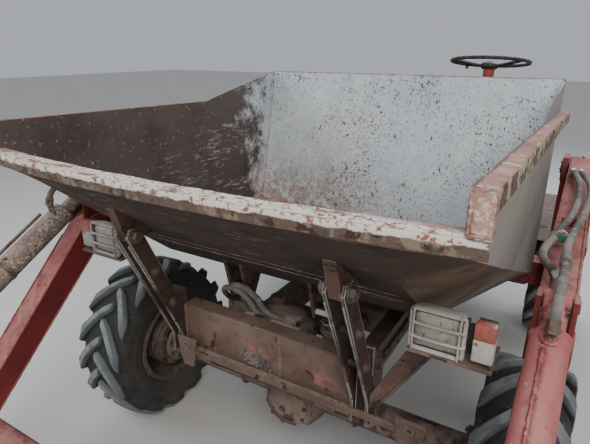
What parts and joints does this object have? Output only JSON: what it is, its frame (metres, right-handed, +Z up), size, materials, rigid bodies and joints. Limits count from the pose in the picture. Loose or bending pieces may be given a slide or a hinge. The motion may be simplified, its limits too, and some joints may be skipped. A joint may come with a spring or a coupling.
{
  "type": "self-loading site dumper",
  "caption": "Self-loading site dumper: open front skip on slanting posts that tips forward, loader arms with a full-width bucket, rear steering and an open driver's seat.",
  "frame": {"origin": "on the ground below the middle of the machine's overall box", "axes": "+Z up, -Y forward (the way the skip faces), +X the machine's left side"},
  "size_m": [1.944, 3.995, 1.7066],
  "materials": {
    "chassis_paint": "faded red brown paint, rusted and worn",
    "axle_casting": "dusty greasy casting",
    "bare_steel": "dull rusted steel",
    "skip_paint": "dirty off-white, scratched and rusted",
    "rim_paint": "worn through to pinkish rust",
    "ram_paint": "dirty grey white paint",
    "crowd_paint": "chalky red paint, worn to grey and rust",
    "ram_chrome": "bright rod",
    "arm_paint": "chalky faded red paint",
    "bucket_steel": "worn paint over rust",
    "cover_paint": "faded red paint",
    "seat_vinyl": "dusty black vinyl",
    "black_plastic": "matt black",
    "weight_casting": "painted casting",
    "lamp_plastic": "dirty white lens and grey case",
    "tyre": "dusty rubber",
    "wheel_paint": "dark dusty paint"
  },
  "bodies": {
    "chassis": {"main_frame": "chassis_paint", "front_beam": "chassis_paint", "skip_posts": "chassis_paint", "front_axle_housing": "axle_casting", "rear_axle_housing": "axle_casting", "gearbox_housing": "axle_casting", "loader_towers": "arm_paint", "deck_plate": "chassis_paint", "engine_block": "axle_casting", "seat_box": "cover_paint", "seat": "seat_vinyl", "steering_column": "cover_paint", "steering_wheel": "black_plastic", "fuel_tank": "chassis_paint", "counterweight": "weight_casting", "exhaust_pipe": "bare_steel", "lamp_brackets": "rim_paint", "headlamp_left": "lamp_plastic", "headlamp_right": "lamp_plastic"},
    "skip": {"skip_shell": "skip_paint", "skip_rim": "rim_paint", "skip_lugs": "chassis_paint"},
    "tip_barrel": {"tip_barrels": "ram_paint"},
    "tip_rod": {"tip_rods": "ram_chrome"},
    "loader_arms": {"loader_arm_left": "arm_paint", "loader_arm_right": "arm_paint", "loader_cross_tube": "arm_paint"},
    "lift_barrel": {"lift_barrels": "ram_paint"},
    "lift_rod": {"lift_rods": "ram_chrome"},
    "crowd_barrel": {"crowd_barrels": "crowd_paint"},
    "crowd_rod": {"crowd_rods": "ram_chrome"},
    "bucket": {"bucket_shell": "bucket_steel", "bucket_lugs": "bucket_steel"},
    "left_knuckle": {"knuckle_left": "axle_casting"},
    "right_knuckle": {"knuckle_right": "axle_casting"},
    "track_rod": {"tie_rod": "bare_steel"},
    "cover": {"engine_cover": "cover_paint"},
    "front_left_wheel": {"front_left_tyre": "tyre", "front_left_rim": "wheel_paint"},
    "front_right_wheel": {"front_right_tyre": "tyre", "front_right_rim": "wheel_paint"},
    "rear_left_wheel": {"rear_left_tyre": "tyre", "rear_left_rim": "wheel_paint"},
    "rear_right_wheel": {"rear_right_tyre": "tyre", "rear_right_rim": "wheel_paint"}
  },
  "joints": [
    {"name": "skip_tip", "type": "hinge", "parent": "chassis", "child": "skip", "pos_m": [0, -0.7155, 1.16], "axis": [1, 0, 0], "range_deg": [0, 64]},
    {"name": "tip_swing", "type": "hinge", "parent": "chassis", "child": "tip_barrel", "pos_m": [0, -0.0725, 0.31], "axis": [1, 0, 0], "range_deg": [-16.43, 0.36]},
    {"name": "tip_stroke", "type": "slide", "parent": "tip_barrel", "child": "tip_rod", "axis": [0, -0.481, 0.8767], "range_m": [-0.00516, 0.42153]},
    {"name": "loader_lift", "type": "hinge", "parent": "chassis", "child": "loader_arms", "pos_m": [0, 0.7885, 1.215], "axis": [-1, 0, 0], "range_deg": [0, 88]},
    {"name": "lift_swing", "type": "hinge", "parent": "chassis", "child": "lift_barrel", "pos_m": [0, 0.7625, 0.48], "axis": [-1, 0, 0], "range_deg": [-0.5, 30.77]},
    {"name": "lift_stroke", "type": "slide", "parent": "lift_barrel", "child": "lift_rod", "axis": [0, -0.6111, 0.7916], "range_m": [-0.00585, 0.49077]},
    {"name": "bucket_curl", "type": "hinge", "parent": "loader_arms", "child": "bucket", "pos_m": [0, -1.4075, 0.18], "axis": [-1, 0, 0], "range_deg": [0, 46]},
    {"name": "crowd_swing", "type": "hinge", "parent": "loader_arms", "child": "crowd_barrel", "pos_m": [0, -0.5375, 1.175], "axis": [-1, 0, 0], "range_deg": [-13.18, 0.33]},
    {"name": "crowd_stroke", "type": "slide", "parent": "crowd_barrel", "child": "crowd_rod", "axis": [0, -0.872, -0.4895], "range_m": [-0.27249, 0.00369]},
    {"name": "steer_left", "type": "hinge", "parent": "chassis", "child": "left_knuckle", "pos_m": [0.655, 1.5625, 0.38], "axis": [0, 0, 1], "range_deg": [-30, 30]},
    {"name": "steer_right", "type": "hinge", "parent": "chassis", "child": "right_knuckle", "pos_m": [-0.655, 1.5625, 0.38], "axis": [0, 0, 1], "range_deg": [-30.5, 30.5]},
    {"name": "track_rod_slide", "type": "slide", "parent": "chassis", "child": "track_rod", "axis": [-1, 0, 0], "range_m": [-0.076, 0.076]},
    {"name": "front_left_roll", "type": "hinge", "parent": "chassis", "child": "front_left_wheel", "pos_m": [0.84, -0.2375, 0.38], "axis": [1, 0, 0], "continuous": true},
    {"name": "front_right_roll", "type": "hinge", "parent": "chassis", "child": "front_right_wheel", "pos_m": [-0.84, -0.2375, 0.38], "axis": [1, 0, 0], "continuous": true},
    {"name": "rear_left_roll", "type": "hinge", "parent": "left_knuckle", "child": "rear_left_wheel", "pos_m": [0.84, 1.5625, 0.38], "axis": [1, 0, 0], "continuous": true},
    {"name": "rear_right_roll", "type": "hinge", "parent": "right_knuckle", "child": "rear_right_wheel", "pos_m": [-0.84, 1.5625, 0.38], "axis": [1, 0, 0], "continuous": true},
    {"name": "cover_open", "type": "hinge", "parent": "chassis", "child": "cover", "pos_m": [0, 1.8975, 0.814], "axis": [-1, 0, 0], "range_deg": [0, 60]}
  ],
  "couplings": [
    {"joint": "tip_swing", "follows": "skip_tip", "ratio": -0.25106},
    {"joint": "tip_stroke", "follows": "skip_tip", "m_per_rad": 0.37275},
    {"joint": "lift_swing", "follows": "loader_lift", "ratio": 0.34395},
    {"joint": "lift_stroke", "follows": "loader_lift", "m_per_rad": 0.31573},
    {"joint": "crowd_swing", "follows": "bucket_curl", "ratio": -0.27929},
    {"joint": "crowd_stroke", "follows": "bucket_curl", "m_per_rad": -0.33481},
    {"joint": "steer_right", "follows": "steer_left", "ratio": 1},
    {"joint": "track_rod_slide", "follows": "steer_left", "m_per_rad": 0.14324}
  ]
}
